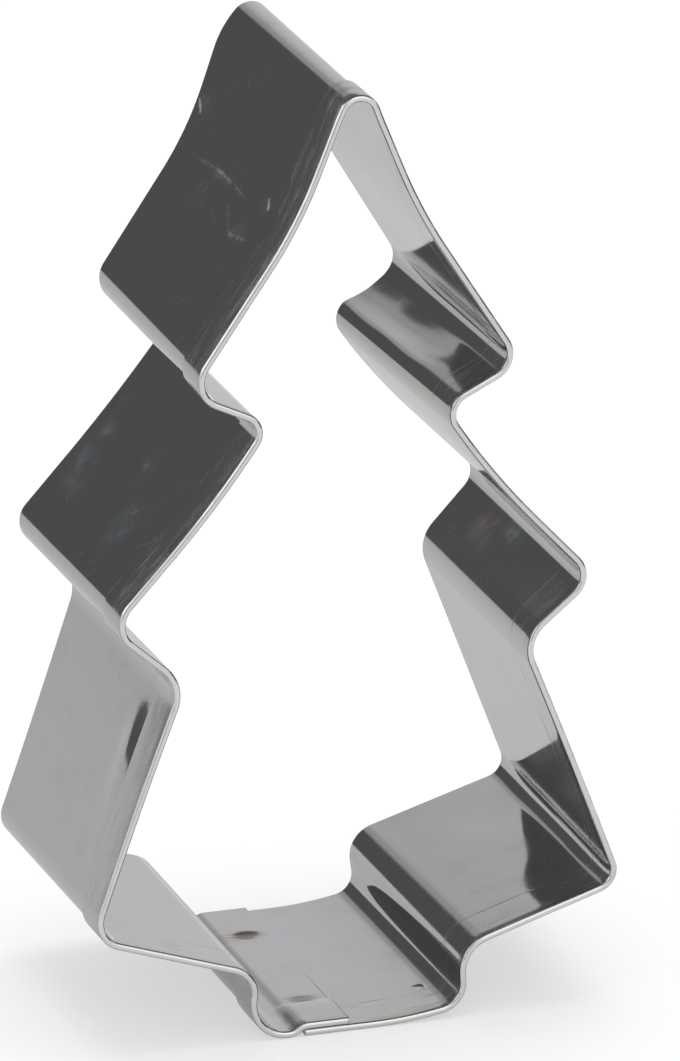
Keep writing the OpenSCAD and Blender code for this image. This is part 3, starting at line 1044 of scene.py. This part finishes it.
def bare_material(name):
    """A material with nothing but its output: the material, its nodes and the output's surface."""
    material = bpy.data.materials.new(name)
    material.use_nodes = True
    tree = material.node_tree
    tree.nodes.remove(tree.nodes["Principled BSDF"])
    return material, Tree(tree), tree.nodes["Material Output"].inputs["Surface"]


def table_material():
    """White, and shown part of the way towards plain white, so that shadows on it stay pale."""
    material, nodes, surface = bare_material("white_table")
    lit = nodes.add("ShaderNodeBsdfDiffuse", {"Color": (TABLE_WHITE, TABLE_WHITE, TABLE_WHITE, 1)})
    white = nodes.add("ShaderNodeEmission", {"Color": (1, 1, 1, 1), "Strength": 1.0})
    share = nodes.times(shown(nodes), TABLE_LIFT)
    nodes.put(surface, nodes.add("ShaderNodeMixShader", {0: share, 1: lit, 2: white}))
    return material


def floor():
    """The table that the cutter stands on."""
    h = TABLE_HALF
    plane("table", [(-h, -h, 0), (h, -h, 0), (h, h, 0), (-h, h, 0)], table_material())


def greys_along_x(nodes, stops):
    """Greys between stops of (place, grey), with the places in millimetres."""
    low, high = stops[0][0] * MM, stops[-1][0] * MM
    place = nodes.add("ShaderNodeSeparateXYZ", {0: nodes.add("ShaderNodeTexCoord").outputs["Object"]})
    shares = [((x * MM - low) / (high - low), (grey, grey, grey, 1)) for x, grey in stops]
    return nodes.ramp(nodes.linear(place.outputs["X"], low, high), shares)


def board_material(name, stops):
    """A board seen only in the steel: its grey follows the stops along X."""
    material, nodes, surface = bare_material(name)
    nodes.put(surface, nodes.add("ShaderNodeEmission", {
        "Color": greys_along_x(nodes, stops), "Strength": 1.0}))
    return material


def fall_off_material():
    """A clear sheet over the table that takes light away from its left side, as a lamp on the right does."""
    material, nodes, surface = bare_material("fall_off")
    nodes.put(surface, nodes.add("ShaderNodeBsdfTransparent", {
        "Color": greys_along_x(nodes, FALL_OFF_STOPS)}))
    return material


def board(name, corners, material):
    """A board that only the steel sees, with its corners in millimetres."""
    only_in_reflections(plane(name, [[c * MM for c in corner] for corner in corners], material))


def boards():
    """The studio as the steel sees it: a dark board behind on the left, a grey one behind on the right, a
    dark ceiling, a dark board on the right, a grey one in front, bright panels above, in front and on the
    left, and a sheet over the table behind the rim."""
    for name, (corners, stops) in BOARDS.items():
        board(name, corners, board_material(name, stops))
    h, front = FALL_OFF_HALF, FRONT_Y / MM
    sheet = ((-h, front, FALL_OFF_Z), (h, front, FALL_OFF_Z), (h, h, FALL_OFF_Z), (-h, h, FALL_OFF_Z))
    board("fall_off_sheet", sheet, fall_off_material())


def soft_lamp(name, place, size, watts):
    """A round lamp that isn't seen in the steel."""
    data = bpy.data.lights.new(name, "AREA")
    data.shape = "DISK"
    data.size = size
    data.energy = watts
    piece = bpy.data.objects.new(name, data)
    aim = LAMP_AIM - Vector(place)
    piece.matrix_world = Matrix.Translation(place) @ aim.to_track_quat("-Z", "Y").to_matrix().to_4x4()
    piece.visible_glossy = False
    bpy.context.scene.collection.objects.link(piece)


bpy.context.scene.view_settings.view_transform = "Standard"
camera()
cutter_strip(steel_material("polished_steel"))
spot_welds(weld_material("weld_metal"))
studio_world()
floor()
boards()
soft_lamp("key_lamp", KEY_PLACE, KEY_SIZE, KEY_WATTS)
